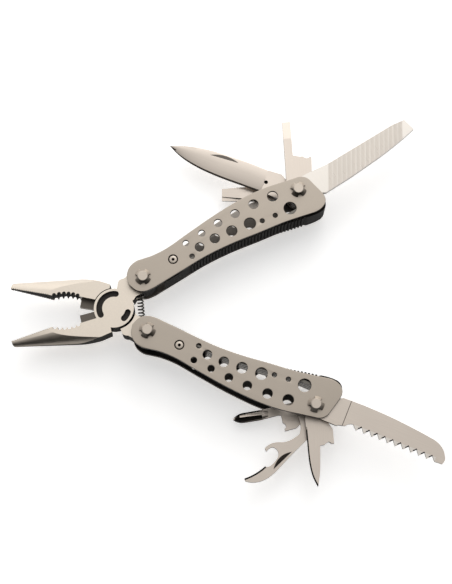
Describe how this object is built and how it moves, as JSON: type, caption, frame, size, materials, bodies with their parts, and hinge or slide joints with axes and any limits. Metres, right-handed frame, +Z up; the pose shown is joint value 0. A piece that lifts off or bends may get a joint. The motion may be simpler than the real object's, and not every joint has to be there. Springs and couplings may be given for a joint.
{
  "type": "folding multi tool",
  "caption": "Folding pocket tool: needle-nose pliers with a return spring between two perforated steel handles that carry fold-out blades, file, saw, openers and drivers.",
  "frame": {"origin": "centre of the bounding box in plan, on the plane the rear bolt heads rest on", "axes": "+X from the jaw tips to the handle ends along the pliers' line of symmetry, +Y across the tool toward the handle with the knife, +Z up out of the front faces"},
  "size_m": [0.207, 0.183, 0.0214],
  "materials": {
    "blasted_steel": "bead-blasted, matt warm grey",
    "satin_steel": "satin",
    "ground_steel": "ground, with cut rows",
    "bright_steel": "fine satin",
    "spring_steel": "polished",
    "blackened_steel": "blackened, satin"
  },
  "bodies": {
    "head": {"jaw_front": "satin_steel", "jaw_rivet": "bright_steel", "return_spring": "spring_steel"},
    "rear_jaw": {"jaw_back": "satin_steel"},
    "upper_handle": {"upper_front_scale": "blasted_steel", "upper_back_scale": "blasted_steel", "upper_spine": "blackened_steel", "upper_leaf_spring": "spring_steel", "upper_jaw_bolt": "bright_steel", "upper_jaw_nut": "bright_steel", "upper_tool_bolt": "bright_steel", "upper_tool_nut": "bright_steel", "upper_front_screw": "bright_steel", "upper_back_screw": "bright_steel", "upper_front_jaw_washer": "bright_steel", "upper_back_jaw_washer": "bright_steel", "upper_tool_washer_1": "bright_steel", "upper_tool_washer_2": "bright_steel", "upper_tool_washer_3": "bright_steel"},
    "lower_handle": {"lower_front_scale": "blasted_steel", "lower_back_scale": "blasted_steel", "lower_spine": "blackened_steel", "lower_leaf_spring": "spring_steel", "lower_jaw_bolt": "bright_steel", "lower_jaw_nut": "bright_steel", "lower_tool_bolt": "bright_steel", "lower_tool_nut": "bright_steel", "lower_front_screw": "bright_steel", "lower_back_screw": "bright_steel", "lower_front_jaw_washer": "bright_steel", "lower_back_jaw_washer": "bright_steel", "lower_tool_washer_1": "bright_steel", "lower_tool_washer_2": "bright_steel", "lower_tool_washer_3": "bright_steel"},
    "file": {"file": "ground_steel"},
    "small_driver": {"small_driver": "satin_steel"},
    "knife": {"knife": "satin_steel"},
    "large_driver": {"large_driver": "satin_steel"},
    "saw": {"saw": "satin_steel"},
    "awl": {"awl": "satin_steel"},
    "opener": {"opener": "satin_steel"},
    "phillips_driver": {"phillips_driver": "satin_steel"}
  },
  "joints": [
    {"name": "jaws", "type": "hinge", "parent": "head", "child": "rear_jaw", "pos_m": [-0.05261, 0.00315, 0.0107], "axis": [0, 0, 1], "range_deg": [-16, 28.7], "stiffness_Nm_per_rad": 0.4, "deforming": ["return_spring"]},
    {"name": "upper_handle_fold", "type": "hinge", "parent": "head", "child": "upper_handle", "pos_m": [-0.03722, 0.01643, 0.0107], "axis": [0, 0, 1], "range_deg": [0, 125]},
    {"name": "lower_handle_fold", "type": "hinge", "parent": "rear_jaw", "child": "lower_handle", "pos_m": [-0.03722, -0.01013, 0.0107], "axis": [0, 0, -1], "range_deg": [-4.5, 135]},
    {"name": "file_fold", "type": "hinge", "parent": "upper_handle", "child": "file", "pos_m": [0.04255, 0.05358, 0.0107], "axis": [0, 0, 1], "range_deg": [-6, 174]},
    {"name": "small_driver_fold", "type": "hinge", "parent": "upper_handle", "child": "small_driver", "pos_m": [0.04255, 0.05358, 0.0107], "axis": [0, 0, 1], "range_deg": [-65, 112]},
    {"name": "knife_fold", "type": "hinge", "parent": "upper_handle", "child": "knife", "pos_m": [0.04255, 0.05358, 0.0107], "axis": [0, 0, 1], "range_deg": [-131, 48]},
    {"name": "large_driver_fold", "type": "hinge", "parent": "upper_handle", "child": "large_driver", "pos_m": [0.04255, 0.05358, 0.0107], "axis": [0, 0, 1], "range_deg": [-152, 28]},
    {"name": "saw_fold", "type": "hinge", "parent": "lower_handle", "child": "saw", "pos_m": [0.03938, -0.05344, 0.0107], "axis": [0, 0, -1], "range_deg": [-3, 176]},
    {"name": "awl_fold", "type": "hinge", "parent": "lower_handle", "child": "awl", "pos_m": [0.03938, -0.05344, 0.0107], "axis": [0, 0, -1], "range_deg": [-68, 112]},
    {"name": "opener_fold", "type": "hinge", "parent": "lower_handle", "child": "opener", "pos_m": [0.03938, -0.05344, 0.0107], "axis": [0, 0, -1], "range_deg": [-104, 70]},
    {"name": "phillips_fold", "type": "hinge", "parent": "lower_handle", "child": "phillips_driver", "pos_m": [0.03938, -0.05344, 0.0107], "axis": [0, 0, -1], "range_deg": [-148, 31]}
  ]
}
